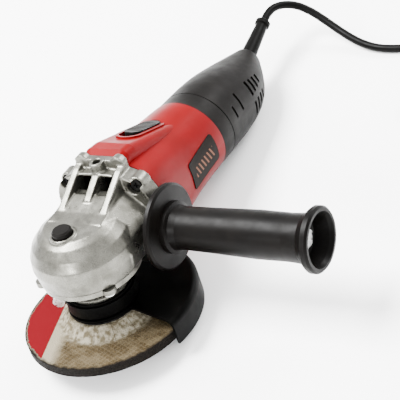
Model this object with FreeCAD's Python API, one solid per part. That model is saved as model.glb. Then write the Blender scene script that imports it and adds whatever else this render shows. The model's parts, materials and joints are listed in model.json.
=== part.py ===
import FreeCAD, Part
import math
import os

# Angle grinder for 115 mm wheels, millimetres.
# The tool is modelled about its spindle: the origin is on the spindle axis at the wheel's lower
# face, +X runs along the side handle, +Y along the motor towards the cable, +Z up the spindle.
# The finished tool is then tilted until the guard and the heel of the handle rest on Z = 0.

V = FreeCAD.Vector
X, Y, Z = V(1, 0, 0), V(0, 1, 0), V(0, 0, 1)

# ---- driving dimensions ----
WHEEL_R = 57.5
WHEEL_T = 6.0
WHEEL_BORE_R = 11.12
HUB_TOP = 12.5
SPINDLE_R = 6.0
NOSE_R = 7.0
NOSE_TIP = -4.0
LEAD_R = 6.8
FLANGE_R = 22.7
GUARD_R = 62.5
GUARD_BOTTOM = -1.0
GUARD_TOP = 16.6
SHEET = 1.8
GUARD_FROM = -14.0
GUARD_SWEEP = 172.0
NECK_R = 20.3
COVER_Z = 41.0
RIM_Z = 44.5
HEAD_R = 34.0
MOTOR_Z = 48.0
JOIN_Y = 46.0
HANDLE_Y = 135.0
TAIL_Y = 233.0
PARTING_Z = 46.5
WALL = 2.6

GEAR_TEETH = 44
PINION_TEETH = 14
GEAR_MODULE = 1.0
FACE_WIDTH = 5.0

BUTTON_Y = -13.9
BUTTON_R = 6.5
BUTTON_TRAVEL = 4.0
LOCK_PIN_R = 2.2

SWITCH_Y = 90.0
SWITCH_Z = 85.4
SWITCH_SLOPE = 20.0
SWITCH_TRAVEL = 6.0

GRIP_Y = 32.8
GRIP_Z = 53.2
GRIP_START = 39.0
GRIP_END = 152.0
STUD_R = 4.0

# ovals across the motor axis: y, half width, half height, centre height, squareness
COLLAR = (37.5, 35.0, 55.5, 3.0)
COVER_SCREWS = (-38, 38, 142, 218)
COVER_SCREW_R = 30.5
SOCKET_FACE = 38.8
SOCKET_DEPTH = 14.8
TOP_SCREW = (26.2, 81.0)
LOW_SCREW = (26.0, 29.5)

STACK_Y = 72.0
STACK_L = 34.0
COIL_Y0 = 65.5
COIL_Y1 = 112.5
ROD_FRONT = 86.2

BOOT_RISE = 17.0
BOOT_Z = 51.0
BOOT_L = 38.0
CORD_R = 3.0

# The cord lies in the row's frame, on the floor at Z = 0.
CORD_ROUTE = [(-47.0, 165.0, 33.3), (-47.0, 175.9, 35.0), (-42.6, 186.2, 32.6), (-33.7, 192.6, 27.7),
              (-22.0, 192.8, 21.0), (-9.7, 189.0, 14.3), (3.6, 183.4, 8.7), (18.1, 176.8, 5.1),
              (34.1, 171.9, 3.4), (52.0, 171.6, 3.0), (68.6, 175.6, 3.0), (85.0, 180.4, 3.0)]
COIL_CENTRE = (122.6, 144.5)
COIL_LAYER = 4
COIL_MID_R = 36.0
COIL_SKIN = 0.2
LEAD_IN = 26.0
LEAD_OUT = 26.0
TIE_ANGLE = 215.0
PLUG_Z = 13.0
PLUG_NECK = 24.0
PLUG_BODY = 36.0
PIN_R = 2.4
PIN_ROOT_R = 2.1
PIN_L = 19.0
PIN_GAP = 19.0


# ---- small builders ----
def cylinder(radius, start, axis, length):
    return Part.makeCylinder(radius, length, start, axis)


def tube(outer, inner, start, axis, length):
    body = cylinder(outer, start, axis, length)
    return body.cut(cylinder(inner, start, axis, length))


def box(low, high):
    return Part.makeBox(high[0] - low[0], high[1] - low[1], high[2] - low[2], V(*low))


def turned(points, start=V(0, 0, 0), axis=Z):
    """A solid of revolution from (radius, height) points about an axis."""
    wire = Part.makePolygon([V(r, 0, h) for r, h in points + points[:1]])
    solid = Part.Face(wire).revolve(V(0, 0, 0), Z, 360)
    return placed(solid, start, axis)


def placed(shape, start, axis):
    moved = shape.copy()
    moved.Placement = FreeCAD.Placement(start, FreeCAD.Rotation(Z, axis))
    return moved


def prism(points, start, span):
    """A polygon in the YZ plane, drawn as (y, z) points, pushed along X."""
    wire = Part.makePolygon([V(start, y, z) for y, z in points + points[:1]])
    return Part.Face(wire).extrude(V(span, 0, 0))


def oval(y, half_x, half_z, centre_z, power):
    """A closed smooth section across Y: power 2 is an ellipse, more is squarer."""
    count = 24
    points = []
    for i in range(count):
        angle = 2 * math.pi * i / count
        c, s = math.cos(angle), math.sin(angle)
        size = (abs(c) ** power + abs(s) ** power) ** (-1 / power)
        points.append(V(half_x * c * size, y, centre_z + half_z * s * size))
    curve = Part.BSplineCurve()
    curve.interpolate(points, PeriodicFlag=True)
    return Part.Wire(curve.toShape())


def lofted(sections, inset=0.0):
    wires = [oval(y, a - inset, b - inset, c, n) for y, a, b, c, n in sections]
    return Part.makeLoft(wires, True, False)


def fused(shapes):
    return shapes[0].multiFuse(shapes[1:]).removeSplitter()


def mirrored(shape):
    return shape.mirror(V(0, 0, 0), X)


def polar(radius, degrees, z):
    angle = math.radians(degrees)
    return V(radius * math.cos(angle), radius * math.sin(angle), z)


def screw(start, axis, radius, length, head_r, head_h):
    """A screw whose head sits at start, pointing along axis, with a cross drive."""
    shank = cylinder(radius, start, axis, length + head_h)
    head = cylinder(head_r, start, axis, head_h)
    solid = shank.fuse(head)
    slots = [box((-head_r * 0.55, -0.5, -0.01), (head_r * 0.55, 0.5, head_h * 0.6)),
             box((-0.5, -head_r * 0.55, -0.01), (0.5, head_r * 0.55, head_h * 0.6))]
    for slot in slots:
        solid = solid.cut(placed(slot, start, axis))
    return solid


def ball_bearing(bore_r, outer_r, width, start, axis):
    """Inner ring, outer ring and shield as one closed unit with grooves at both faces."""
    body = tube(outer_r, bore_r, start, axis, width)
    middle = (bore_r + outer_r) / 2
    gap = (outer_r - bore_r) * 0.22
    groove_depth = width * 0.12
    for offset in (0, width - groove_depth):
        body = body.cut(tube(middle + gap, middle - gap, start + axis * offset, axis, groove_depth))
    return body


# ---- wheel end ----
def grinding_wheel():
    return turned([(WHEEL_BORE_R, HUB_TOP), (25, HUB_TOP), (32, WHEEL_T), (WHEEL_R, WHEEL_T),
                   (WHEEL_R, 0), (28.5, 0), (22.5, HUB_TOP - WHEEL_T),
                   (WHEEL_BORE_R, HUB_TOP - WHEEL_T)])


def inner_flange():
    disc = turned([(NOSE_R + 0.02, 8.5), (11.0, 8.5), (11.0, HUB_TOP), (FLANGE_R, HUB_TOP),
                   (FLANGE_R, 14.2), (17.0, 14.9), (17.0, 17.0), (NOSE_R + 0.02, 17.0)])
    return disc


def lock_nut():
    nut = turned([(NOSE_R + 0.02, 1.0), (13.0, 1.0), (13.0, 3.2), (20.0, 3.8),
                  (20.0, HUB_TOP - WHEEL_T), (NOSE_R + 0.02, HUB_TOP - WHEEL_T)])
    for i in range(4):
        nut = nut.cut(cylinder(2.5, polar(16.5, 45 + 90 * i, 0), Z, 5.2))
    return nut


def spindle():
    shaft = turned([(0, NOSE_TIP), (LEAD_R - 0.6, NOSE_TIP), (LEAD_R, NOSE_TIP + 0.6), (LEAD_R, 0.2),
                    (6.3, 0.2), (6.3, 1.2), (NOSE_R, 1.2), (NOSE_R, 17), (8.5, 17), (8.5, 24),
                    (SPINDLE_R, 24), (SPINDLE_R, 44.5), (4.0, 44.5), (4.0, 66.5), (0, 66.5)])
    return shaft.cut(box((SPINDLE_R - 1.5, -1.5, 36.4), (SPINDLE_R + 1, 1.5, 43.6)))


def spindle_key():
    return box((SPINDLE_R - 1.5, -1.5, 36.4), (SPINDLE_R + 1.4, 1.5, 43.6))


def spindle_circlip():
    ring = tube(7.4, 4.0, V(0, 0, 44.55), Z, 1.0)
    return ring.cut(box((-1.6, -9, 44), (1.6, 0, 46)))


def bevel_tooth(teeth, cone_degrees):
    """One tooth on a pitch cone whose tip is at the origin and which opens along +Z."""
    cone = math.radians(cone_degrees)
    pitch_r = teeth * GEAR_MODULE / 2
    far = pitch_r / math.sin(cone)
    wires = []
    for distance in (far, far - FACE_WIDTH):
        scale = distance / far
        out = V(math.cos(cone), 0, -math.sin(cone))
        along = V(math.sin(cone), 0, math.cos(cone)) * distance
        corners = []
        for height, half in ((-1.15, 1.06), (0.72, 0.36)):
            for side in (-1, 1):
                corners.append(along + (out * height + V(0, side * half, 0)) * GEAR_MODULE * scale)
        low_left, low_right, high_left, high_right = corners
        wires.append(Part.makePolygon([low_left, low_right, high_right, high_left, low_left]))
    return Part.makeLoft(wires, True, True)


def bevel_blank(teeth, cone_degrees):
    """The outer and inner ends of the root cone's side line."""
    cone = math.radians(cone_degrees)
    pitch_r = teeth * GEAR_MODULE / 2
    far = pitch_r / math.sin(cone)
    near = far - FACE_WIDTH
    root = 1.05 * GEAR_MODULE
    outer = V(math.sin(cone) * far, 0, math.cos(cone) * far)
    inner = V(math.sin(cone) * near, 0, math.cos(cone) * near)
    down = V(-math.cos(cone), 0, math.sin(cone)) * root
    outer, inner = outer + down, inner + down * (near / far)
    return outer, inner


def toothed(blank, teeth, cone_degrees):
    tooth = bevel_tooth(teeth, cone_degrees)
    all_teeth = []
    for i in range(teeth):
        one = tooth.copy()
        one.rotate(V(0, 0, 0), Z, 360.0 * i / teeth)
        all_teeth.append(one)
    return blank.multiFuse(all_teeth)


PINION_CONE = math.degrees(math.atan2(PINION_TEETH, GEAR_TEETH))
GEAR_CONE = 90.0 - PINION_CONE


def bevel_gear():
    """The large gear is drawn opening along +Z, then turned over so that its teeth look up."""
    outer, inner = bevel_blank(GEAR_TEETH, GEAR_CONE)
    blank = turned([(SPINDLE_R + 0.02, 4.6), (11, 4.6), (11, inner.z + 0.8), (inner.x, inner.z),
                    (outer.x, outer.z), (outer.x, 11.2), (12, 11.6), (SPINDLE_R + 0.02, 11.6)])
    gear = toothed(blank, GEAR_TEETH, GEAR_CONE)
    gear.rotate(V(0, 0, 0), X, 180)
    gear.translate(V(0, 0, MOTOR_Z))
    gear = gear.cut(box((SPINDLE_R - 1.5, -1.52, 36.3), (SPINDLE_R + 1.42, 1.52, 44)))
    for i in range(4):
        gear = gear.cut(cylinder(LOCK_PIN_R + 0.5, polar(-BUTTON_Y, 90 * i - 90, 30), Z, 20))
    return gear


def pinion_gear():
    outer, inner = bevel_blank(PINION_TEETH, PINION_CONE)
    blank = turned([(4.02, inner.z - 0.2), (inner.x, inner.z), (outer.x, outer.z),
                    (outer.x, outer.z + 1.5), (6.4, outer.z + 3.5), (4.02, outer.z + 3.5)])
    gear = toothed(blank, PINION_TEETH, PINION_CONE)
    return placed(gear, V(0, 0, MOTOR_Z), Y)


# ---- guard ----
def sector(radius, height, start_z):
    disc = Part.makeCylinder(radius, height, V(0, 0, start_z), Z, GUARD_SWEEP)
    disc.rotate(V(0, 0, 0), Z, GUARD_FROM)
    return disc


def wheel_guard():
    height = GUARD_TOP - GUARD_BOTTOM
    shell = sector(GUARD_R, height, GUARD_BOTTOM)
    outer_edges = [e for e in shell.Edges
                   if abs(e.BoundBox.ZMin - GUARD_TOP) < 0.01 and abs(e.BoundBox.ZMax - GUARD_TOP) < 0.01
                   and isinstance(e.Curve, Part.Circle)]
    shell = shell.makeFillet(4.0, outer_edges)
    inside = turned([(0, GUARD_BOTTOM - 1), (GUARD_R - SHEET, GUARD_BOTTOM - 1),
                     (GUARD_R - SHEET, GUARD_TOP - 4.4), (GUARD_R - 4.4, GUARD_TOP - SHEET),
                     (0, GUARD_TOP - SHEET)])
    shell = shell.cut(inside)
    ring = tube(24.5, NECK_R + 0.3, V(0, 0, GUARD_TOP - SHEET), Z, SHEET)
    collar = tube(NECK_R + 2.0, NECK_R + 0.3, V(0, 0, GUARD_TOP - SHEET), Z, 13.0)
    guard = fused([shell.cut(cylinder(NECK_R + 0.3, V(0, 0, 0), Z, 40)), ring, collar])
    slit = box((NECK_R - 2, -1.2, GUARD_TOP + 1), (NECK_R + 4, 1.2, GUARD_TOP + 13))
    slit.rotate(V(0, 0, 0), Z, 200)
    return guard.cut(slit)


def guard_clamp_band():
    inner = NECK_R + 2.05
    band = tube(inner + 1.6, inner, V(0, 0, GUARD_TOP + 1.6), Z, 8.4)
    ears = []
    for side in (-1, 1):
        low_y = 1.5 if side > 0 else -3.7
        ears.append(box((inner + 0.4, low_y, GUARD_TOP + 1.6), (32.0, low_y + 2.2, GUARD_TOP + 10.0)))
    gap = box((inner - 2, -1.5, GUARD_TOP), (inner + 3, 1.5, GUARD_TOP + 12))
    band = fused([band.cut(gap)] + ears)
    band = band.cut(cylinder(2.6, V(28, -6, GUARD_TOP + 5.8), Y, 12))
    band.rotate(V(0, 0, 0), Z, 200)
    return band


def guard_clamp_screw():
    bolt = screw(V(28, -6.4, GUARD_TOP + 5.8), Y, 2.5, 10.6, 4.0, 2.6)
    nut = cylinder(4.0, V(28, 3.8, GUARD_TOP + 5.8), Y, 3.0).cut(
        cylinder(2.6, V(28, 3.7, GUARD_TOP + 5.8), Y, 3.2))
    solids = [bolt, nut]
    for solid in solids:
        solid.rotate(V(0, 0, 0), Z, 200)
    return Part.makeCompound(solids)


# ---- head ----
def bearing_cover():
    cover = turned([(NECK_R, 17.4), (NECK_R, 30), (27, 36.5), (33.2, COVER_Z), (33.2, RIM_Z - 0.1),
                    (24.2, RIM_Z - 0.1), (24.2, 34.6), (16.0, 34.6), (16.0, 24.2), (9.2, 24.2),
                    (9.2, 17.4)])
    lugs = [cylinder(4.6, polar(32.5, a, COVER_Z), Z, RIM_Z - 0.1 - COVER_Z) for a in COVER_SCREWS]
    cover = fused([cover] + lugs)
    cover = cover.cut(cylinder(24.2, V(0, 0, 34.6), Z, 10))
    cover = cover.cut(box((-20, 32.9, 30), (20, 40, 46)))
    cover = cover.cut(cylinder(8.3, motor_point(15), Y, 20))
    for angle in COVER_SCREWS:
        cover = cover.cut(cylinder(2.1, polar(COVER_SCREW_R, angle, 30), Z, 17))
        cover = cover.cut(cylinder(3.8, polar(COVER_SCREW_R, angle, 28), Z, 12.9))
    return cover


def bearing_cover_screws():
    return Part.makeCompound([screw(polar(COVER_SCREW_R, a, 38.4), Z, 2.0, 11.0, 3.6, 2.4)
                              for a in COVER_SCREWS])


def plan_outline(front_r, half_rear, low, height):
    """Round at the front about the spindle, straight sides back to the motor joint."""
    arc = Part.Arc(V(-front_r, 0, low), V(0, -front_r, low), V(front_r, 0, low))
    edges = [arc.toShape(),
             Part.makeLine(V(front_r, 0, low), V(half_rear, JOIN_Y, low)),
             Part.makeLine(V(half_rear, JOIN_Y, low), V(-half_rear, JOIN_Y, low)),
             Part.makeLine(V(-half_rear, JOIN_Y, low), V(-front_r, 0, low))]
    return Part.Face(Part.Wire(edges)).extrude(V(0, 0, height))


def head_outside():
    """A dome turned about the spindle, carried straight back to the motor joint."""
    outline = [(0, RIM_Z), (HEAD_R, RIM_Z), (HEAD_R + 1.5, 56), (34.6, 62.5), (31.3, 69), (26, 74.5),
               (21, 77.4), (0, 78.2)]
    front = turned(outline)
    rear_half = [(HEAD_R, RIM_Z), (HEAD_R + 2, 55), (34, 63), (19.5, 79), (17, 90)]
    points = [(-x, z) for x, z in reversed(rear_half)] + rear_half
    face = Part.Face(Part.makePolygon([V(x, -1, z) for x, z in points + points[:1]]))
    rear = face.extrude(V(0, JOIN_Y + 1, 0))
    side = prism([(-1, RIM_Z - 1), (-1, 78.0), (8, 78.6), (30, 83), (JOIN_Y, 87), (JOIN_Y, 50),
                  (33, RIM_Z - 1)], -60, 120)
    rear = rear.common(side).common(plan_outline(HEAD_R + 2, 38.0, 20, 90))
    return front.fuse(rear)


def pushed_oval(y, half_x, half_z, centre_z, power, length):
    return Part.Face(oval(y, half_x, half_z, centre_z, power)).extrude(V(0, length, 0))


def collar_outside():
    return pushed_oval(33.2, *COLLAR, JOIN_Y - 33.2)


def screw_places():
    return [(side * x, z) for side in (-1, 1) for x, z in (TOP_SCREW, LOW_SCREW)]


def head_ribs():
    """Three ribs, the cross wall with its ears, and the boss between them."""
    wall_front = 40.5
    side_rib = [(3, 76), (36, 92), (wall_front + 1, 93.5), (wall_front + 1, 76)]
    centre_rib = [(15, 78), (17, 81.4), (36, 91.5), (36, 78)]
    solids = [prism(side_rib, s * 16.2 - 2.4, 4.8) for s in (-1, 1)]
    solids.append(prism(centre_rib, -2.6, 5.2))
    solids.append(box((-18.6, wall_front, 74), (18.6, JOIN_Y, 96.5)))
    for side in (-1, 1):
        solids.append(cylinder(5.0, V(side * 13.8, wall_front, 93.8), Y, JOIN_Y - wall_front))
    solids.append(cylinder(4.9, V(0, 38.6, 78), Z, 19.0))
    return solids


def gear_housing():
    head = fused([head_outside(), collar_outside()] + head_ribs())
    ring = cylinder(8.6, V(0, BUTTON_Y, 70), Z, 9.0)
    sockets = [cylinder(10.0, V(s * 30, GRIP_Y, GRIP_Z), X * s, SOCKET_FACE - 30) for s in (-1, 1)]
    bosses = [cylinder(6.2, V(x, 37, z), Y, JOIN_Y - 37) for x, z in screw_places()]
    head = fused([head, ring] + sockets + bosses)
    head = head.cut(head_cavity())
    bore_start = V(0, 33.0, MOTOR_Z)
    seat = tube(17.5, 13.0, bore_start, Y, 11.0).fuse(tube(17.5, 8.0, bore_start, Y, 2.0))
    web = pushed_oval(34.4, 36.5, 34.0, 55.5, 3.0, 3.2)
    web = web.cut(cylinder(17.0, V(0, 30, MOTOR_Z), Y, 20))
    head = fused([head, web, seat])
    bush_boss = cylinder(8.5, V(0, 0, 56.5), Z, 18)
    head = fused([head, bush_boss])
    head = head.cut(cylinder(6.0, V(0, 0, 50), Z, 17.0))
    head = head.cut(cylinder(LOCK_PIN_R + 0.1, V(0, BUTTON_Y, 60), Z, 30))
    head = head.cut(cylinder(BUTTON_R + 0.25, V(0, BUTTON_Y, 71.5), Z, 12))
    for window in air_windows():
        head = head.cut(window)
    for side in (-1, 1):
        inner_end = V(side * (SOCKET_FACE - SOCKET_DEPTH), GRIP_Y, GRIP_Z)
        head = head.cut(cylinder(STUD_R, inner_end, X * side, SOCKET_DEPTH + 8))
    head = head.cut(cylinder(2.75, V(0, 38.6, 85), Z, 20))
    for x, z in screw_places():
        head = head.cut(cylinder(2.4, V(x, 30, z), Y, 20))
        head = head.cut(cylinder(4.6, V(x, 20, z), Y, 20.5))
    for angle in COVER_SCREWS:
        head = head.cut(cylinder(2.02, polar(COVER_SCREW_R, angle, 43), Z, 9))
    return head


def air_windows():
    """Two openings on each side of the boss, between the ribs."""
    cuts = []
    for y0, y1, z0, z1 in ((24, 42, 80.5, 88.5), (30, 40.4, 72, 88)):
        for x0, x1 in ((3.2, 13.6), (-13.6, -3.2)):
            cuts.append(box((x0, y0, z0), (x1, y1, z1)))
    return cuts


def head_cavity():
    gears = turned([(0, 20), (26.5, 20), (26.5, 54), (17, 71), (0, 71)])
    behind = pushed_oval(38.0, 33.0, 31.0, 55.5, 3.0, JOIN_Y - 37)
    throat = box((-15, 10, MOTOR_Z - 12), (15, 34.9, MOTOR_Z + 18))
    around_seat = cylinder(17.4, motor_point(26), Y, 14)
    return fused([gears, behind, throat, around_seat])


def gear_housing_screws():
    solids = []
    for x, z in screw_places():
        solids.append(screw(V(x, 37.0, z), Y, 2.0, 10.0, 4.0, 3.4))
    return Part.makeCompound(solids)


# ---- lock button ----
def lock_button():
    top = 82.7
    cap = turned([(0, 76.2), (BUTTON_R, 76.2), (BUTTON_R, top - 1), (BUTTON_R - 1, top), (0, top)])
    cap = cap.cut(tube(5.2, 3.0, V(0, 0, 76), Z, 4.2))
    cap.translate(V(0, BUTTON_Y, 0))
    return cap


def lock_pin():
    return cylinder(LOCK_PIN_R, V(0, BUTTON_Y, 43.2), Z, 33.0)


def lock_spring():
    return tube(4.6, 3.4, V(0, BUTTON_Y, 71.55), Z, 8.6)


# ---- motor ----
def motor_point(y):
    return V(0, y, MOTOR_Z)


def armature_shaft():
    return turned([(0, 15.5), (4, 15.5), (4, 30), (5, 30), (5, 43.2), (6.5, 43.2), (6.5, 47),
                   (5, 47), (5, 131), (3.5, 131), (3.5, 138), (0, 138)], V(0, 0, MOTOR_Z), Y)


def armature_core():
    core = tube(14.9, 5.02, motor_point(STACK_Y), Y, STACK_L)
    for i in range(12):
        slot = box((-1.1, STACK_Y - 1, 10.0), (1.1, STACK_Y + STACK_L + 1, 14.0))
        mouth = box((-0.5, STACK_Y - 1, 13.5), (0.5, STACK_Y + STACK_L + 1, 17.0))
        for cut in (slot, mouth):
            cut.rotate(V(0, 0, 0), Y, 30 * i)
            cut.translate(V(0, 0, MOTOR_Z))
            core = core.cut(cut)
    return core


def armature_windings():
    ends = [turned([(5.05, 0), (11, 0), (13.6, 2), (13.6, 5), (11, 7), (5.05, 7)],
                   motor_point(y), Y) for y in (STACK_Y - 7.05, STACK_Y + STACK_L + 0.05)]
    return Part.makeCompound(ends)


def commutator():
    body = tube(10.5, 5.02, motor_point(114), Y, 12)
    for i in range(24):
        slit = box((-0.25, 115, 9.7), (0.25, 127, 11))
        slit.rotate(V(0, 0, 0), Y, 15 * i)
        slit.translate(V(0, 0, MOTOR_Z))
        body = body.cut(slit)
    return body


def cooling_fan():
    solids = [tube(22, 5.02, motor_point(50), Y, 1.6), tube(8.5, 5.02, motor_point(50), Y, 8)]
    for i in range(10):
        blade = box((-0.8, 51, 8), (0.8, 57.5, 21.6))
        blade.rotate(V(0, 0, 0), Y, 36 * i)
        blade.translate(V(0, 0, MOTOR_Z))
        solids.append(blade)
    return fused(solids)


def air_baffle():
    plate = pushed_oval(60, 32.0, 30.4, 54.3, 2.6, 2.4)
    plate = plate.cut(cylinder(20.0, motor_point(59), Y, 5))
    for x, z in screw_places():
        plate = plate.cut(cylinder(5.2, V(x, 59, z), Y, 5))
    return plate


def stator_core():
    core = tube(24.0, 16.0, motor_point(STACK_Y), Y, STACK_L)
    for side in (-1, 1):
        for up in (-1, 1):
            core = core.cut(coil_leg(side, up, 0.15))
    return core


def coil_leg(side, up, slack):
    x0, x1 = sorted((side * (12.4 - slack), side * (17.6 + slack)))
    z0, z1 = sorted((up * (9 - slack), up * (15 + slack)))
    return box((x0, COIL_Y0, MOTOR_Z + z0), (x1, COIL_Y1, MOTOR_Z + z1))


def field_coils():
    """Two closed coils, one above and one below, each with two legs and two end bows."""
    coils = []
    for up in (-1, 1):
        legs = [coil_leg(side, up, 0) for side in (-1, 1)]
        bows = []
        for y in (COIL_Y0, COIL_Y1 - 4.5):
            bow = tube(22.5, 17.0, motor_point(y), Y, 4.5)
            z0 = MOTOR_Z + 9 if up > 0 else MOTOR_Z - 30
            bows.append(bow.common(box((-17.6, y - 1, z0), (17.6, y + 6, z0 + 21))))
        coils.append(fused(legs + bows))
    return Part.makeCompound(coils)


def brush_holders():
    solids = []
    for side in (-1, 1):
        outer = box((10.9, 116.5, MOTOR_Z - 4.5), (25.5, 124.5, MOTOR_Z + 4.5))
        inner = box((10, 118.0, MOTOR_Z - 3.05), (24.3, 123.0, MOTOR_Z + 3.05))
        holder = outer.cut(inner)
        solids.append(holder if side > 0 else mirrored(holder))
    return Part.makeCompound(solids)


def carbon_brushes():
    brush = box((10.2, 118.05, MOTOR_Z - 3.0), (19.0, 122.95, MOTOR_Z + 3.0))
    brush = brush.cut(cylinder(10.6, motor_point(110), Y, 20))
    return Part.makeCompound([brush, mirrored(brush)])


def brush_springs():
    spring = tube(2.2, 1.4, V(19.05, 120.5, MOTOR_Z), X, 5.2)
    return Part.makeCompound([spring, mirrored(spring)])


# ---- red housing ----
RED_SECTIONS = [(46, 37.5, 35.0, 55.5, 3.0), (62, 35.4, 34.0, 54.4, 2.75), (80, 33.0, 32.7, 52.6, 2.45),
                (105, 31.2, 31.2, 50.4, 2.1), (135, 29.7, 29.7, 47.7, 2.0)]


def stretched(sections, front, back):
    """The same sections with the first and last moved out, for cutting a cavity."""
    first, last = sections[0], sections[-1]
    return [(first[0] - front,) + first[1:]] + sections[1:-1] + [(last[0] + back,) + last[1:]]


def on_slope(shape):
    """Moves a shape drawn about the origin, +X across and +Y rearwards, onto the sloping top."""
    return placed_turn(shape, V(0, SWITCH_Y, SWITCH_Z), X, -SWITCH_SLOPE)


def placed_turn(shape, start, axis, degrees):
    moved = shape.copy()
    moved.Placement = FreeCAD.Placement(start, FreeCAD.Rotation(axis, degrees))
    return moved


def stadium(length, width, low, height, shift=0.0):
    half = (length - width) / 2
    middle = box((-width / 2, shift - half, low), (width / 2, shift + half, low + height))
    ends = [cylinder(width / 2, V(0, shift + s * half, low), Z, height) for s in (-1, 1)]
    return fused([middle] + ends)


def motor_housing():
    outer = lofted(RED_SECTIONS)
    inner = lofted(stretched(RED_SECTIONS, 0.6, 0.6), WALL)
    hump = prism([(JOIN_Y, 60), (JOIN_Y, 96), (51, 97.8), (60, 96.3), (112, 77.4), (122, 73.0),
                  (122, 60)], -17, 34)
    edges = [e for e in hump.Edges if e.BoundBox.XLength < 0.01 and e.BoundBox.ZMax > 77
             and e.BoundBox.YLength > 4]
    hump = hump.makeFillet(6.0, edges)
    hump_inside = prism([(JOIN_Y - 1, 60), (JOIN_Y - 1, 93.0), (51, 94.4), (59, 93.2), (108, 75.4),
                         (108, 60)], -13, 26)
    shell = outer.fuse(hump)
    shell = shell.fuse(on_slope(stadium(43, 19, -3, 4.2)))
    shell = shell.cut(inner).cut(hump_inside)
    shell = shell.cut(on_slope(stadium(39, 14.4, -8, 16)))
    shell = shell.fuse(housing_insides(outer))
    for x, z in screw_places():
        shell = shell.cut(cylinder(2.02, V(x, JOIN_Y - 1, z), Y, 6.2))
    return shell


def housing_insides(outer):
    """Screw bosses, stator ribs, the rear bearing bridge and the lip for the handle."""
    solids = []
    for x, z in screw_places():
        solids.append(cylinder(4.6, V(x, JOIN_Y + 0.1, z), Y, 16).common(outer))
    for i in range(4):
        rib = box((-2.5, STACK_Y - 2, 24.05), (2.5, STACK_Y + STACK_L + 2, 34))
        rib.rotate(V(0, 0, 0), Y, 45 + 90 * i)
        rib.translate(V(0, 0, MOTOR_Z))
        solids.append(rib.common(outer))
        arm = box((-1.5, 131, 12), (1.5, 137, 25.5))
        arm.rotate(V(0, 0, 0), Y, 45 + 90 * i)
        arm.translate(V(0, 0, MOTOR_Z))
        solids.append(arm)
    solids.append(tube(13.5, 11.1, motor_point(131), Y, 6.5))
    solids.append(tube(25.4, 23.7, V(0, 131, 47.6), Y, 7.0))
    solids.append(tube(28.0, 24.6, V(0, 131, 47.6), Y, 3.5))
    return fused(solids)


def housing_badge():
    skin = lofted(RED_SECTIONS, -0.6).cut(lofted(RED_SECTIONS, -0.02))
    plate = box((15, 86, 41.5), (50, 124, 61.5))
    plate = plate.makeFillet(2.0, [e for e in plate.Edges if e.BoundBox.XLength > 10])
    return skin.common(plate)


def switch_slider():
    rest = SWITCH_TRAVEL / 2
    cap = stadium(32, 13.4, -3.7, 5.9, rest)
    for i in range(7):
        groove = box((-8, rest - 10.6 + 3.2 * i, 1.2), (8, rest - 9.4 + 3.2 * i, 3))
        cap = cap.cut(groove)
    plate = box((-8.5, rest - 17, -5.2), (8.5, rest + 15, -3.7))
    peg = box((-2, rest - 1, -9.0), (2, rest + 4, -5.2))
    return on_slope(fused([cap, plate, peg]))


def switch_push_rod():
    front, back = ROD_FRONT, 121.0
    solids = [box((-3, front, 72.5), (3, back, 74.3)),
              box((-2.5, front, 74.3), (2.5, front + 2.4, 79.0)),
              box((-3, back - 2, 66.0), (3, back, 74.3)),
              box((-3, back - 2, 66.0), (3, 172, 68.0)),
              box((-2, 163, 61.5), (2, 167, 66.5))]
    return fused(solids)


def switch_block():
    block = box((-8.5, 152, 48), (8.5, 180, 65.4))
    return block.cut(box((-2.4, 154.5, 60.5), (2.4, 168.5, 66)))


def suppressor_capacitor():
    return box((-7, 154, 29), (7, 174, 42))


# ---- rear handle ----
BLACK_SECTIONS = [(135, 29.4, 29.4, 47.7, 2.0), (160, 28.7, 28.8, 45.8, 2.05),
                  (185, 27.2, 26.8, 43.9, 2.15), (205, 24.0, 23.0, 42.8, 2.2),
                  (222, 17.2, 17.6, 44.4, 2.2), (TAIL_Y, 10.4, 10.4, 49.5, 2.0)]
HANDLE_SCREWS = ((17.5, 158.0), (11.5, 207.0))


def rear_handle():
    outer = lofted(BLACK_SECTIONS)
    inner_sections = [(y - (0.6 if y == HANDLE_Y else 0) - (4.0 if y == TAIL_Y else 0), a, b, c, n)
                      for y, a, b, c, n in BLACK_SECTIONS]
    shell = outer.cut(lofted(inner_sections, WALL))
    ring = pushed_oval(149.6, 33, 33, 46.6, 2.0, 0.9).cut(pushed_oval(149, 28.4, 28.5, 46.6, 2.0, 3))
    shell = shell.cut(ring)
    for side in (-1, 1):
        shell = shell.cut(side_vents(side))
    for side in (-1, 1):
        for x, y in HANDLE_SCREWS:
            shell = shell.fuse(cylinder(4.2, V(side * x, y, 10), Z, 80).common(outer))
        post = cylinder(3.6, V(side * 9, 199.5, 10), Z, PARTING_Z - 10.1).common(outer)
        shell = shell.fuse(post.cut(cylinder(1.8, V(side * 9, 199.5, 43), Z, 20)))
    for x, y in HANDLE_SCREWS:
        for side in (-1, 1):
            shell = shell.cut(cylinder(1.8, V(side * x, y, 10), Z, 48.5))
            shell = shell.cut(cylinder(3.7, V(side * x, y, 10), Z, 20.5))
    return shell.cut(placed(cylinder(6.35, V(0, 0, -12), Z, 30), BOOT_BASE, BOOT_AXIS))


def side_vents(side):
    slots = []
    for i in range(4):
        y = 188.0 + 5.6 * i
        slots.append(((y, y + 2.6), (49.0, 60.0 - 1.5 * i)))
        slots.append(((y, y + 2.6), (33.0 + 1.0 * i, 44.0)))
    slots.append(((160, 162), (49.0, 58)))
    slots.append(((170, 172), (49.0, 62)))
    cuts = []
    for (y0, y1), (z0, z1) in slots:
        low_x, high_x = sorted((side * 17, side * 40))
        cuts.append(box((low_x, y0, z0), (high_x, y1, z1)))
    return Part.makeCompound(cuts)


BOOT_AXIS = V(0, math.cos(math.radians(BOOT_RISE)), math.sin(math.radians(BOOT_RISE)))
BOOT_BASE = V(0, TAIL_Y - 1.5, BOOT_Z)


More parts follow.
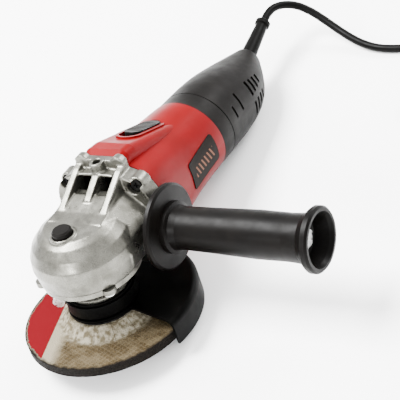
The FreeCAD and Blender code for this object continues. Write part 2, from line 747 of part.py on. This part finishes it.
def rear_handle_halves():
    shell = rear_handle()
    upper = shell.common(box((-60, 100, PARTING_Z), (60, 300, 150)))
    lower = shell.common(box((-60, 100, -50), (60, 300, PARTING_Z)))
    return upper, lower


def handle_screws():
    return Part.makeCompound([screw(V(side * x, y, 28.0), Z, 1.75, 24.0, 3.4, 2.4)
                              for x, y in HANDLE_SCREWS for side in (-1, 1)])


def cable_boot():
    profile = [(0, -9), (8.2, -9), (8.2, -6.2), (6.2, -6.2), (6.2, 3), (5.7, 6), (4.6, BOOT_L - 7),
               (4.5, BOOT_L - 4), (5.6, BOOT_L - 3.4), (5.6, BOOT_L - 0.6), (5.0, BOOT_L), (0, BOOT_L)]
    return turned(profile, BOOT_BASE, BOOT_AXIS)


def cord_inner_end():
    """The stretch of cord inside the handle, from the boot to under the clamp and the switch."""
    start = BOOT_BASE - BOOT_AXIS * 9
    end = V(0, 190, 49.2)
    return cylinder(CORD_R, start, end - start, (end - start).Length)


def cable_clamp():
    bar = box((-15, 196, 52.4), (15, 202.5, 56.0))
    for side in (-1, 1):
        bar = bar.fuse(cylinder(3.6, V(side * 9, 199.5, PARTING_Z), Z, 6.0))
        bar = bar.cut(cylinder(1.9, V(side * 9, 199.5, 40), Z, 20))
    return bar


def cable_clamp_screws():
    return Part.makeCompound([screw(V(side * 9, 199.5, 58.2), Z * -1, 1.8, 12.0, 3.2, 2.1)
                              for side in (-1, 1)])


# ---- side handle ----
def side_handle_grip():
    profile = [(STUD_R + 0.1, GRIP_START), (11, GRIP_START), (11, 41.5), (26.5, 41.5), (28, 42.6),
               (28, 45.0), (26.5, 46.2), (17.0, 47.2), (17.0, 50.5), (14.6, 51.5), (13.8, 56), (14.2, 75),
               (15.3, 110), (15.0, 132), (15.6, 142), (19.4, 146), (20.7, 147.6), (20.7, 150.6),
               (19.4, GRIP_END), (17.4, GRIP_END), (16.0, 149), (13.0, 140), (9.5, 137),
               (STUD_R + 0.1, 137)]
    return turned(profile, V(0, GRIP_Y, GRIP_Z), X)


def side_handle_bolt():
    start = V(26, GRIP_Y, GRIP_Z)
    shank = cylinder(STUD_R - 0.02, start, X, 112)
    corners = [V(137.0, GRIP_Y + 7.4 * math.cos(math.radians(60 * i)),
                 GRIP_Z + 7.4 * math.sin(math.radians(60 * i))) for i in range(7)]
    head = Part.Face(Part.makePolygon(corners)).extrude(V(5.3, 0, 0))
    return shank.fuse(head)


# ---- cord, coil and plug ----
def rounded_path(points):
    """Straight runs joined by tangent arcs, each as large as its two runs allow."""
    edges = []
    at = points[0]
    for before, corner, after in zip(points, points[1:], points[2:]):
        come, leave = (corner - before), (after - corner)
        shorter = min(come.Length, leave.Length)
        half_turn = come.getAngle(leave) / 2
        reach = 0.45 * shorter
        radius = reach / math.tan(half_turn)
        come.normalize()
        leave.normalize()
        start, end = corner - come * reach, corner + leave * reach
        inward = (leave - come)
        inward.normalize()
        middle = corner + inward * (radius / math.cos(half_turn) - radius)
        edges.append(Part.LineSegment(at, start).toShape())
        edges.append(Part.Arc(start, middle, end).toShape())
        print("cord radius", round(radius, 1), "turn", round(math.degrees(2 * half_turn), 1))
        at = end
    edges.append(Part.LineSegment(at, points[-1]).toShape())
    return Part.Wire(edges)


def power_cord():
    points = [V(*p) for p in CORD_ROUTE]
    path = rounded_path(points)
    section = Part.Wire(Part.makeCircle(CORD_R, points[0], points[1] - points[0]))
    cord = path.makePipeShell([section], True, True)
    print("cord length", round(path.Length, 1), "volume over section times length",
          round(cord.Volume / (math.pi * CORD_R ** 2 * path.Length), 4))
    return cord


def lead_in_direction():
    direction = V(*CORD_ROUTE[-1]) - V(*CORD_ROUTE[-2])
    return direction.normalize()


def coil_half_width():
    return COIL_LAYER * CORD_R


def cord_coil():
    """The wound rest of the cord: its outer shape, with the two leads that reach it."""
    cx, cy = COIL_CENTRE
    outer, inner = COIL_MID_R + coil_half_width(), COIL_MID_R - coil_half_width()
    ring = tube(outer + COIL_SKIN, inner - COIL_SKIN, V(cx, cy, COIL_SKIN), Z, 4 * CORD_R)
    entry = cylinder(CORD_R, V(*CORD_ROUTE[-1]), lead_in_direction(), LEAD_IN)
    start, end = V(cx + outer - CORD_R, cy, 3 * CORD_R), plug_start()
    leaving = cylinder(CORD_R, start, end - start, (end - start).Length)
    return fused([ring, entry, leaving])


def plug_start():
    cx, cy = COIL_CENTRE
    return V(cx + COIL_MID_R + coil_half_width() - CORD_R, cy - LEAD_OUT, PLUG_Z)


def cord_tie():
    half = coil_half_width()
    outer = box((COIL_MID_R - half - 1, -5, 0), (COIL_MID_R + half + 1, 5, 4 * CORD_R + 1))
    inner = box((COIL_MID_R - half, -6, 0.7), (COIL_MID_R + half, 6, 4 * CORD_R))
    tie = outer.cut(inner)
    tie.rotate(V(0, 0, 0), Z, TIE_ANGLE)
    tie.translate(V(*COIL_CENTRE, 0))
    return tie


def plug_body():
    """A round-ended two-pin plug with a tapered neck, pointing along -Y."""
    start = plug_start()
    neck = turned([(0, 0), (4.0, 0), (6.5, PLUG_NECK), (6.5, PLUG_NECK + 4), (0, PLUG_NECK + 4)],
                  start, Y * -1)
    face_y = start.y - PLUG_NECK - PLUG_BODY
    grip = Part.makeLoft([plug_section(start.x, start.y - PLUG_NECK, 9.0, 8.0),
                          plug_section(start.x, start.y - PLUG_NECK - 16, 14.5, 11.0),
                          plug_section(start.x, face_y, 18.5, 13.0)], True, False)
    body = neck.fuse(grip)
    for side in (-1, 1):
        hole_start = V(start.x + side * PIN_GAP / 2, face_y - 1, PLUG_Z)
        body = body.cut(cylinder(PIN_ROOT_R + 0.01, hole_start, Y, 9))
    return body


def plug_section(x, y, half_x, half_z):
    wire = oval(y, half_x, half_z, PLUG_Z, 2.6)
    wire.translate(V(x, 0, 0))
    return wire


def plug_pins():
    start = plug_start()
    face_y = start.y - PLUG_NECK - PLUG_BODY
    pins = []
    for side in (-1, 1):
        profile = [(0, -8), (PIN_ROOT_R, -8), (PIN_ROOT_R, 0.4), (PIN_R, 0.4), (PIN_R, PIN_L - 1.2),
                   (PIN_R - 1.2, PIN_L), (0, PIN_L)]
        pins.append(turned(profile, V(start.x + side * PIN_GAP / 2, face_y, PLUG_Z), Y * -1))
    return Part.makeCompound(pins)


# ---- standing on the floor ----
def rest_tilt(heel):
    """The tilt about X that brings the guard's rear edge and the handle's heel to one level."""
    points, _ = heel.tessellate(0.05)
    angles = [math.atan2(p.z - GUARD_BOTTOM, p.y - GUARD_R) for p in points if p.y > 150]
    return -math.degrees(min(angles))


def standing(made):
    """Where the tool's own frame goes in the row's frame: tilted, centred, and on the floor."""
    tilt = FreeCAD.Rotation(X, rest_tilt(made["rear_handle_bottom"]))
    turned_over = FreeCAD.Placement(V(0, 0, 0), tilt)
    bounds = FreeCAD.BoundBox()
    for shape in made.values():
        points, _ = placed_by(shape, turned_over).tessellate(0.05)
        for point in points:
            bounds.add(point)
    offset = V(-bounds.Center.x, -bounds.Center.y, -bounds.ZMin)
    return FreeCAD.Placement(offset, tilt)


def placed_by(shape, placement):
    moved = shape.copy()
    moved.Placement = placement.multiply(moved.Placement)
    return moved


def build():
    made = {
        "grinding_wheel": grinding_wheel(),
        "inner_flange": inner_flange(),
        "lock_nut": lock_nut(),
        "spindle": spindle(),
        "spindle_key": spindle_key(),
        "spindle_circlip": spindle_circlip(),
        "bevel_gear": bevel_gear(),
        "spindle_bearing": ball_bearing(SPINDLE_R + 0.01, 16.0, 10.0, V(0, 0, 24.25), Z),
        "spindle_bush": tube(5.98, 4.03, V(0, 0, 56.6), Z, 10.0),
        "wheel_guard": wheel_guard(),
        "guard_clamp_band": guard_clamp_band(),
        "guard_clamp_screw": guard_clamp_screw(),
        "bearing_cover": bearing_cover(),
        "bearing_cover_screws": bearing_cover_screws(),
        "gear_housing": gear_housing(),
        "gear_housing_screws": gear_housing_screws(),
        "lock_button": lock_button(),
        "lock_pin": lock_pin(),
        "lock_spring": lock_spring(),
        "armature_shaft": armature_shaft(),
        "pinion_gear": pinion_gear(),
        "armature_core": armature_core(),
        "armature_windings": armature_windings(),
        "commutator": commutator(),
        "cooling_fan": cooling_fan(),
        "front_motor_bearing": ball_bearing(5.01, 12.98, 8.0, motor_point(35.05), Y),
        "rear_motor_bearing": ball_bearing(3.51, 9.5, 6.0, motor_point(131.3), Y),
        "rear_bearing_sleeve": tube(11.05, 9.52, motor_point(131.2), Y, 6.2),
        "air_baffle": air_baffle(),
        "stator_core": stator_core(),
        "field_coils": field_coils(),
        "brush_holders": brush_holders(),
        "carbon_brushes": carbon_brushes(),
        "brush_springs": brush_springs(),
        "motor_housing": motor_housing(),
        "housing_badge": housing_badge(),
        "switch_slider": switch_slider(),
        "switch_push_rod": switch_push_rod(),
        "switch_block": switch_block(),
        "suppressor_capacitor": suppressor_capacitor(),
        "handle_screws": handle_screws(),
        "cable_boot": cable_boot(),
        "cord_inner_end": cord_inner_end(),
        "cable_clamp": cable_clamp(),
        "cable_clamp_screws": cable_clamp_screws(),
        "side_handle_grip": side_handle_grip(),
        "side_handle_bolt": side_handle_bolt(),
    }
    made["rear_handle_top"], made["rear_handle_bottom"] = rear_handle_halves()
    return made


tool = build()
STAND = standing(tool)
print("stand", STAND.Base, math.degrees(STAND.Rotation.Angle))
parts = {name: placed_by(shape, STAND) for name, shape in tool.items()}
parts["power_cord"] = power_cord()
parts["cord_coil"] = cord_coil()
parts["cord_tie"] = cord_tie()
parts["plug_body"] = plug_body()
parts["plug_pins"] = plug_pins()
os.makedirs("parts", exist_ok=True)
for name, shape in parts.items():
    print(name, shape.isValid(), len(shape.Solids), round(shape.Volume))
    shape.exportStep("parts/" + name + ".step")
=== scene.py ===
import json
import math

import bpy
from mathutils import Matrix, Vector


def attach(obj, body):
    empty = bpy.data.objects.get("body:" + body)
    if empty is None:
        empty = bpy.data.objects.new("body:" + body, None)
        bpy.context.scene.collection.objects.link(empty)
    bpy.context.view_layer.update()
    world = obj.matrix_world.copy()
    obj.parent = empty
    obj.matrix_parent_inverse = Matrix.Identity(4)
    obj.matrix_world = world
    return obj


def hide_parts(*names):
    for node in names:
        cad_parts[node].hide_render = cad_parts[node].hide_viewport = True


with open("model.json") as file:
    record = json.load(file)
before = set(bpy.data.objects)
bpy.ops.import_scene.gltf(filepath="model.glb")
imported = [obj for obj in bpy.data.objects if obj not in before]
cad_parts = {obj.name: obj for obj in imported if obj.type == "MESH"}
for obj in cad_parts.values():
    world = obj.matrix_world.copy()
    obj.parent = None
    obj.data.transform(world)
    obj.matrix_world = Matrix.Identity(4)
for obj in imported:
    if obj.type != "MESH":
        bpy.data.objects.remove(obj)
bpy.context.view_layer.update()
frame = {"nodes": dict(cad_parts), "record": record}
MM = 0.001
NODES = frame["nodes"]
RECORD = frame["record"]
SLOT_OF = {part["node"]: part["material_slot"] for part in RECORD["subparts"]}

# ---- the tool's own frame: origin on the spindle axis at the wheel's lower face, millimetres ----
NOSE = next(m for m in RECORD["mounts"] if m["name"] == "spindle_nose")
NOSE_MIDDLE = -1.6  # where the nose's mount lies along the spindle
SPINDLE_UP = -Vector(NOSE["axis"])
TILT = math.atan2(-SPINDLE_UP.y, SPINDLE_UP.z)
TOOL_ORIGIN = Vector(NOSE["pos_m"]) - SPINDLE_UP * NOSE_MIDDLE * MM
TOOL = Matrix.Translation(TOOL_ORIGIN) @ Matrix.Rotation(TILT, 4, "X") @ Matrix.Scale(MM, 4)
TO_TOOL = TOOL.inverted()


def at(x, y, z):
    """A point given in the tool's millimetres, as a row point in metres."""
    return TOOL @ Vector((x, y, z))


# ---- camera, floor, light ----
CAMERA_AT = Vector((0.51001, -0.60082, 0.65695))
CAMERA_AIM = Vector((-0.00277, -0.03229, 0.04521))
CAMERA_UP = Vector((-0.064663, 0.703362, 0.707884))
CAMERA_LENS = 135.46
WORLD_STRENGTH = 2.6
FLOOR_HALF = 6.0
# Each soft box: name, place, what it points at, size in metres, power in watts.
SOFT_BOXES = (
    ("key_light", (-0.7, -0.1, 1.5), (0, 0, 0.05), (0.9, 0.7), 170),
    ("front_light", (-0.2, -1.6, 0.9), (0, 0, 0.04), (0.8, 0.4), 40),
    ("rear_light", (0.6, 1.3, 1.1), (0, 0.05, 0.05), (0.9, 0.5), 50),
)


def look(obj, place, aim, up):
    """Turns a camera or light at place towards aim, with up as the picture's vertical."""
    back = (place - aim).normalized()
    right = up.cross(back).normalized()
    turn = Matrix((right, back.cross(right), back)).transposed().to_4x4()
    obj.matrix_world = Matrix.Translation(place) @ turn


def link(name, data):
    obj = bpy.data.objects.new(name, data)
    bpy.context.scene.collection.objects.link(obj)
    return obj


def add_camera():
    data = bpy.data.cameras.new("camera")
    data.lens = CAMERA_LENS
    data.clip_start, data.clip_end = 0.01, 20
    camera = link("camera", data)
    look(camera, CAMERA_AT, CAMERA_AIM, CAMERA_UP)
    bpy.context.scene.camera = camera


def add_light(name, place, aim, size, power):
    data = bpy.data.lights.new(name, "AREA")
    data.shape = "RECTANGLE"
    data.size, data.size_y = size
    data.energy = power
    light = link(name, data)
    look(light, Vector(place), Vector(aim), Vector((0, 0.02, 1)))


def add_studio():
    for name, place, aim, size, power in SOFT_BOXES:
        add_light(name, place, aim, size, power)
    world = bpy.data.worlds.new("studio")
    bpy.context.scene.world = world
    world.use_nodes = True
    background = world.node_tree.nodes["Background"]
    background.inputs["Color"].default_value = (1, 1, 1, 1)
    background.inputs["Strength"].default_value = WORLD_STRENGTH


# ---- material building ----
class Finish:
    """A material whose textures are laid out in the tool's own millimetres."""

    def __init__(self, name, colour, roughness, metallic=0.0, **sockets):
        self.material = bpy.data.materials.new(name)
        self.material.use_nodes = True
        self.tree = self.material.node_tree
        self.shader = self.tree.nodes["Principled BSDF"]
        self.set("Base Color", (*colour, 1))
        self.set("Roughness", roughness)
        self.set("Metallic", metallic)
        for socket, value in sockets.items():
            self.set(socket.replace("_", " "), value)
        coordinates = self.tree.nodes.new("ShaderNodeTexCoord")
        place = self.tree.nodes.new("ShaderNodeMapping")
        place.inputs["Location"].default_value = TO_TOOL.translation
        place.inputs["Rotation"].default_value = (-TILT, 0, 0)
        place.inputs["Scale"].default_value = (1 / MM,) * 3
        self.join(coordinates.outputs["Object"], place.inputs["Vector"])
        self.place = place.outputs["Vector"]
        self.height = None

    def set(self, socket, value):
        self.shader.inputs[socket].default_value = value

    def join(self, output, socket):
        self.tree.links.new(output, socket)

    def node(self, kind, sockets=None, **settings):
        made = self.tree.nodes.new(kind)
        for key, value in settings.items():
            setattr(made, key, value)
        for key, value in (sockets or {}).items():
            if isinstance(value, bpy.types.NodeSocket):
                self.join(value, made.inputs[key])
            else:
                made.inputs[key].default_value = value
        return made

    def math(self, operation, a, b=0.0, c=0.0):
        return self.node("ShaderNodeMath", {0: a, 1: b, 2: c}, operation=operation).outputs[0]

    def noise(self, per_mm, detail=3.0, roughness=0.55):
        sockets = {"Vector": self.place, "Scale": per_mm, "Detail": detail, "Roughness": roughness}
        return self.node("ShaderNodeTexNoise", sockets).outputs[0]

    def cells(self, per_mm):
        sockets = {"Vector": self.place, "Scale": per_mm}
        return self.node("ShaderNodeTexVoronoi", sockets).outputs[0]

    def mapped(self, value, low, high, to_low, to_high):
        sockets = {0: value, 1: low, 2: high, 3: to_low, 4: to_high}
        return self.node("ShaderNodeMapRange", sockets).outputs[0]

    def mixed(self, share, first, second):
        """A colour between two: each is a colour or another node's output."""
        mix = self.node("ShaderNodeMix", data_type="RGBA")
        for index, value in ((0, share), (6, first), (7, second)):
            if isinstance(value, bpy.types.NodeSocket):
                self.join(value, mix.inputs[index])
            else:
                mix.inputs[index].default_value = value if index == 0 else (*value, 1)
        return mix.outputs[2]

    def paint(self, colour):
        self.join(colour, self.shader.inputs["Base Color"])
        return self

    def vary(self, per_mm, first, second, low=0.35, high=0.65):
        share = self.mapped(self.noise(per_mm), low, high, 0, 1)
        return self.paint(self.mixed(share, first, second))

    def gloss(self, per_mm, low, high):
        rough = self.mapped(self.noise(per_mm, 4), 0.3, 0.7, low, high)
        self.join(rough, self.shader.inputs["Roughness"])
        return self

    def bump(self, value, strength, distance_mm):
        """Adds one more layer of relief on top of those already there."""
        sockets = {"Height": value, "Strength": strength, "Distance": distance_mm * MM}
        if self.height is not None:
            sockets["Normal"] = self.height
        self.height = self.node("ShaderNodeBump", sockets).outputs[0]
        self.join(self.height, self.shader.inputs["Normal"])
        return self


def plastic(name, dark, light, roughness, grain, **sockets):
    """Moulded plastic: a fine spark-eroded grain and slightly uneven gloss."""
    made = Finish(name, dark, roughness, **sockets)
    made.vary(0.05, dark, light)
    made.gloss(0.12, roughness - 0.06, roughness + 0.08)
    return made.bump(made.noise(3.5, 2), grain, 0.05)


def machined(name, dark, light, roughness):
    """Turned or ground metal, with fine uneven marks."""
    made = Finish(name, dark, roughness, 1.0)
    made.vary(0.15, dark, light)
    made.gloss(0.5, roughness - 0.08, roughness + 0.12)
    return made.bump(made.noise(6.0, 2), 0.15, 0.02)


def cast_metal():
    """Tumbled die-cast aluminium: pale, satin, with a fine sandy grain and faint flow marks."""
    made = Finish("cast_silver", (0.3, 0.295, 0.27), 0.4, 0.92)
    flow = made.mapped(made.noise(0.07, 5), 0.35, 0.65, 0, 1)
    speck = made.mapped(made.noise(1.6, 4, 0.7), 0.42, 0.6, 0, 1)
    base = made.mixed(flow, (0.085, 0.083, 0.07), (0.17, 0.167, 0.145))
    made.paint(made.mixed(made.math("MULTIPLY", speck, 0.4), base, (0.03, 0.028, 0.022)))
    made.gloss(0.2, 0.24, 0.42)
    made.bump(made.noise(1.1, 4), 0.35, 0.12)
    return made.bump(made.noise(4.5, 2), 0.3, 0.05)


def painted_steel():
    """Black paint over pressed steel, a little uneven."""
    made = Finish("guard_steel", (0.002, 0.002, 0.002), 0.42, Specular_IOR_Level=0.03)
    made.vary(0.08, (0.0003, 0.0003, 0.0003), (0.0008, 0.0008, 0.0007))
    made.gloss(0.1, 0.36, 0.5)
    return made.bump(made.noise(0.9, 3), 0.22, 0.12)


def red_plastic():
    """Smooth red moulding of the motor housing."""
    made = Finish("red_plastic", (0.1, 0.0, 0.001), 0.36, Specular_IOR_Level=0.04)
    made.vary(0.03, (0.088, 0.0, 0.0005), (0.11, 0.0, 0.0015))
    made.gloss(0.1, 0.3, 0.4)
    return made.bump(made.noise(2.5, 2), 0.08, 0.05)


def winding_wire():
    """Enamelled copper, with the turns as a wave."""
    made = Finish("copper", (0.55, 0.2, 0.08), 0.35, 0.9)
    made.vary(0.2, (0.5, 0.17, 0.06), (0.68, 0.3, 0.12))
    wave = made.node("ShaderNodeTexWave", {"Vector": made.place, "Scale": 0.5, "Distortion": 1.5})
    return made.bump(wave.outputs[1], 0.5, 0.3)


BAR_PITCH, BAR_SHARE, BAR_SLANT = 4.2, 0.36, 0.45
BARS_MIDDLE_Y, BARS_HALF_LENGTH = 105.0, 13.5
BARS_MIDDLE_Z, BARS_HALF_HEIGHT = 51.5, 3.6


def badge_finish():
    """A dark plate with a plain pattern of slanted bars along its middle."""
    made = Finish("badge", (0.045, 0.03, 0.022), 0.5, Specular_IOR_Level=0.03)
    split = made.node("ShaderNodeSeparateXYZ", {"Vector": made.place})
    along, high = split.outputs[1], split.outputs[2]
    slant = made.math("MULTIPLY_ADD", high, BAR_SLANT, along)
    step = made.math("FRACT", made.math("DIVIDE", slant, BAR_PITCH))
    bars = made.math("LESS_THAN", step, BAR_SHARE)
    middle = made.math("COMPARE", high, BARS_MIDDLE_Z, BARS_HALF_HEIGHT)
    inner = made.math("COMPARE", along, BARS_MIDDLE_Y, BARS_HALF_LENGTH)
    shown = made.math("MULTIPLY", made.math("MULTIPLY", bars, middle), inner)
    ground = made.mixed(made.mapped(made.noise(0.2), 0.3, 0.7, 0, 1), (0.003, 0.002, 0.0014),
                        (0.005, 0.0034, 0.0023))
    made.paint(made.mixed(shown, ground, (0.1, 0.042, 0.025)))
    return made.bump(made.noise(3.0, 2), 0.08, 0.04)


WHEEL_LABEL_CHORD = ((-21.0, -53.0), (-35.5, 1.6))
WHEEL_LABEL_R = 55.6
WHEEL_LABEL_LOW = 5.6
WHEEL_TOP_LOW = 5.2
CREAM_WIDTH = 9.0
HUB_R = 32.0
RIM_FROM, RIM_TO = 54.5, 57.0
CREASES = 14
NET_ANGLES = (20, 110)
NET_GAP = 1.5


def wheel_finish():
    """Resin-bonded grain under a glass net, with a red paper label on one side of a chord."""
    made = Finish("abrasive", (0.42, 0.33, 0.2), 0.7, Specular_IOR_Level=0.03)
    split = made.node("ShaderNodeSeparateXYZ", {"Vector": made.place})
    x, y, z = split.outputs
    (x0, y0), (x1, y1) = WHEEL_LABEL_CHORD
    long = math.hypot(x1 - x0, y1 - y0)
    side_x, side_y = (y1 - y0) / long, -(x1 - x0) / long
    across = made.math("MULTIPLY_ADD", x, side_x, made.math("MULTIPLY", y, side_y))
    across = made.math("SUBTRACT", across, x0 * side_x + y0 * side_y)
    radius = made.math("SQRT", made.math("MULTIPLY_ADD", x, x, made.math("MULTIPLY", y, y)))
    wander = made.mapped(made.noise(0.25), 0.2, 0.8, -1.2, 1.2)
    ragged_radius = made.math("ADD", radius, wander)
    grain = made.mapped(made.cells(1.1), 0.1, 0.7, 0, 1)
    gold = made.mixed(grain, (0.005, 0.0033, 0.0016), (0.04, 0.028, 0.013))
    patches = made.mapped(made.noise(0.12, 4), 0.42, 0.62, 0, 1)
    gold = made.mixed(made.math("MULTIPLY", patches, 0.4), gold, (0.09, 0.072, 0.043))
    net = None
    for angle in NET_ANGLES:
        sockets = {"Vector": made.place, "Angle": math.radians(angle)}
        turned = made.node("ShaderNodeVectorRotate", sockets)
        axis = made.node("ShaderNodeSeparateXYZ", {"Vector": turned.outputs[0]}).outputs[0]
        strand = made.math("PINGPONG", made.math("MULTIPLY_ADD", wander, 0.25, axis), NET_GAP)
        strand = made.mapped(strand, 0.0, 0.5, 1, 0)
        net = strand if net is None else made.math("MAXIMUM", net, strand)
    gold = made.mixed(made.math("MULTIPLY", net, 0.2), gold, (0.12, 0.1, 0.066))
    cream = made.mapped(made.math("ADD", across, wander), CREAM_WIDTH - 3, CREAM_WIDTH + 4, 1, 0)
    body = made.mixed(cream, gold, (0.17, 0.148, 0.105))
    # The hub is a cloud of painted sheen, and its creases are dark lines of painted shade.
    bearing = made.math("ARCTAN2", y, x)
    crease_shade = made.math("ABSOLUTE", made.math("SINE", made.math("MULTIPLY", bearing, CREASES / 2)))
    crease_shade = made.mapped(crease_shade, 0.02, 0.06, 1, 0)
    hub = made.mapped(ragged_radius, HUB_R, HUB_R + 4, 1, 0)
    cloud = made.mapped(made.noise(0.3, 4), 0.4, 0.6, 0, 1)
    shine = made.mixed(cloud, (0.07, 0.058, 0.036), (0.2, 0.18, 0.135))
    body = made.mixed(hub, body, made.mixed(crease_shade, shine, (0.05, 0.04, 0.03)))
    label = made.math("LESS_THAN", across, 0.0)
    on_top = made.math("GREATER_THAN", z, WHEEL_LABEL_LOW)
    inside_rim = made.math("LESS_THAN", ragged_radius, WHEEL_LABEL_R)
    label = made.math("MULTIPLY", label, made.math("MULTIPLY", on_top, inside_rim))
    top = made.mixed(label, body, (0.075, 0.001, 0.003))
    rim = made.mapped(ragged_radius, RIM_FROM, RIM_TO, 0, 1)
    dark = made.mixed(grain, (0.0004, 0.0003, 0.0003), (0.005, 0.004, 0.003))
    edge = made.math("MAXIMUM", rim, made.math("LESS_THAN", z, WHEEL_TOP_LOW))
    rough = made.math("SUBTRACT", 1.0, label)
    made.paint(made.mixed(made.math("MULTIPLY", edge, rough), top, dark))
    made.bump(made.math("MULTIPLY", grain, rough), 0.8, 0.35)
    return made.bump(made.math("MULTIPLY", net, rough), 0.35, 0.3)


RUBBER_DARK, RUBBER_LIGHT = (0.0005, 0.0005, 0.0004), (0.001, 0.0009, 0.0008)
GRIP_DARK, GRIP_LIGHT = (0.0009, 0.0007, 0.0006), (0.0017, 0.0013, 0.001)
BLACK_DARK, BLACK_LIGHT = (0.0016, 0.0013, 0.0011), (0.0028, 0.0023, 0.0019)


def finishes():
    """One finish for each material slot of the record, by slot name."""
    return {
        "abrasive": wheel_finish(),
        "black_steel": machined("black_steel", (0.02, 0.02, 0.021), (0.05, 0.048, 0.046), 0.4),
        "steel": machined("steel", (0.5, 0.5, 0.5), (0.68, 0.68, 0.67), 0.3),
        "gear_steel": machined("gear_steel", (0.32, 0.32, 0.33), (0.48, 0.48, 0.48), 0.34),
        "brass": machined("brass", (0.62, 0.43, 0.16), (0.75, 0.56, 0.26), 0.3),
        "guard_steel": painted_steel(),
        "cast_silver": cast_metal(),
        "black_plastic": plastic("black_plastic", BLACK_DARK, BLACK_LIGHT, 0.46, 0.25,
                                 Specular_IOR_Level=0.05),
        "copper": winding_wire(),
        "black_rubber": plastic("black_rubber", RUBBER_DARK, RUBBER_LIGHT, 0.42, 0.2,
                                Specular_IOR_Level=0.04),
        "carbon": plastic("carbon", (0.03, 0.03, 0.03), (0.06, 0.06, 0.06), 0.55, 0.4),
        "red_plastic": red_plastic(),
        "badge": badge_finish(),
        "cord_rubber": plastic("cord_rubber", RUBBER_DARK, RUBBER_LIGHT, 0.42, 0.15,
                               Specular_IOR_Level=0.04),
        "grip_plastic": plastic("grip_plastic", GRIP_DARK, GRIP_LIGHT, 0.4, 0.2,
                                Specular_IOR_Level=0.05),
        "plug_brass": machined("plug_brass", (0.66, 0.65, 0.62), (0.8, 0.79, 0.76), 0.22),
    }


FINISH = finishes()


def give(obj, slot):
    """Puts the slot's finish on an object."""
    obj.data.materials.clear()
    obj.data.materials.append(FINISH[slot].material)


def dress_cad_nodes():
    for name, obj in NODES.items():
        give(obj, SLOT_OF[name])


# ---- cord: the route of the CAD tube, then the turns of the coil, in row millimetres ----
CORD_R = 3.0
CORD_ROUTE = [(-47.0, 165.0, 33.3), (-47.0, 175.9, 35.0), (-42.6, 186.2, 32.6), (-33.7, 192.6, 27.7),
              (-22.0, 192.8, 21.0), (-9.7, 189.0, 14.3), (3.6, 183.4, 8.7), (18.1, 176.8, 5.1),
              (34.1, 171.9, 3.4), (52.0, 171.6, 3.0), (68.6, 175.6, 3.0), (85.0, 180.4, 3.0)]
COIL_CENTRE = (122.6, 144.5)
COIL_OUTER_R = 45.0
COIL_LAYER = 4
COIL_TURNS = 7.295
COIL_START_DEGREES = 106.3
POINTS_PER_TURN = 16
STEP_SHARE = 0.2
PLUG_START = (167.6, 118.5, 13.0)
LEAD_TO_PLUG = ((0.0, 17.0, -3.4), (0.0, 8.0, -0.8), (0.0, 0.0, 0.0))  # from the plug's start


def step_in(turns):
    """How many cord widths a turn has moved across: it moves over the last part of each turn."""
    whole = math.floor(turns)
    part = max(0.0, (turns - whole - (1 - STEP_SHARE)) / STEP_SHARE)
    return whole + part * part * (3 - 2 * part)


def coil_point(turns):
    """A control point of the coil: four turns inwards on the floor, then outwards on top."""
    width = 2 * CORD_R
    inner = COIL_OUTER_R - width * (COIL_LAYER - 1)
    if turns < COIL_LAYER:
        radius = max(inner, COIL_OUTER_R - width * step_in(turns))
        rise = max(0.0, step_in(turns) - (COIL_LAYER - 1))
    else:
        radius = inner + width * step_in(turns - COIL_LAYER)
        rise = 1.0
    radius = min(radius, COIL_OUTER_R) / math.cos(math.pi / POINTS_PER_TURN)
    angle = math.radians(COIL_START_DEGREES) - 2 * math.pi * turns
    x = COIL_CENTRE[0] + radius * math.cos(angle)
    y = COIL_CENTRE[1] + radius * math.sin(angle)
    return x, y, CORD_R + width * rise


def cord_points():
    count = round(COIL_TURNS * POINTS_PER_TURN)
    coil = [coil_point(COIL_TURNS * i / count) for i in range(1, count)]
    lead = [tuple(Vector(PLUG_START) + Vector(step)) for step in LEAD_TO_PLUG]
    return CORD_ROUTE + coil + lead


def add_cord():
    data = bpy.data.curves.new("cord", "CURVE")
    data.dimensions = "3D"
    spline = data.splines.new("NURBS")
    points = cord_points()
    spline.points.add(len(points) - 1)
    for point, place in zip(spline.points, points):
        point.co = (*(Vector(place) * MM), 1)
    spline.order_u = 3
    spline.use_endpoint_u = True
    data.resolution_u = 6
    data.bevel_depth = CORD_R * MM
    data.bevel_resolution = 5
    data.use_fill_caps = True
    cord = link("cord", data)
    give(cord, "cord_rubber")
    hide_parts("power_cord", "cord_coil")
    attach(cord, "tool_body")


# ---- pieces ----
HEAD_VOXEL = 0.55
HEAD_ROUNDS = 7


def softened(node, name, voxel_mm, rounds):
    """A copy of a CAD node whose sharp edges are melted into cast or moulded radii."""
    data = NODES[node].data.copy()
    piece = link(name, data)
    remesh = piece.modifiers.new("remesh", "REMESH")
    remesh.mode = "VOXEL"
    remesh.voxel_size = voxel_mm * MM
    smooth = piece.modifiers.new("smooth", "SMOOTH")
    smooth.factor = 0.5
    smooth.iterations = rounds
    bpy.context.view_layer.update()
    graph = bpy.context.evaluated_depsgraph_get()
    mesh = bpy.data.meshes.new_from_object(piece.evaluated_get(graph))
    piece.modifiers.clear()
    piece.data = mesh
    mesh.name = name
    mesh.shade_smooth()
    return piece


def add_head():
    head = softened("gear_housing", "cast_head", HEAD_VOXEL, HEAD_ROUNDS)
    give(head, "cast_silver")
    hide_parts("gear_housing")
    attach(head, "tool_body")


def add_floor():
    half = FLOOR_HALF
    mesh = bpy.data.meshes.new("floor")
    corners = [(-half, -half, 0), (half, -half, 0), (half, half, 0), (-half, half, 0)]
    mesh.from_pydata(corners, [], [(0, 1, 2, 3)])
    floor = link("floor", mesh)
    paper = Finish("floor", (0.98, 0.98, 0.98), 0.9, Specular_IOR_Level=0.2)
    paper.vary(0.002, (0.975, 0.975, 0.975), (0.985, 0.985, 0.985))
    floor.data.materials.append(paper.material)


add_camera()
add_studio()
add_floor()
dress_cad_nodes()
add_cord()
add_head()
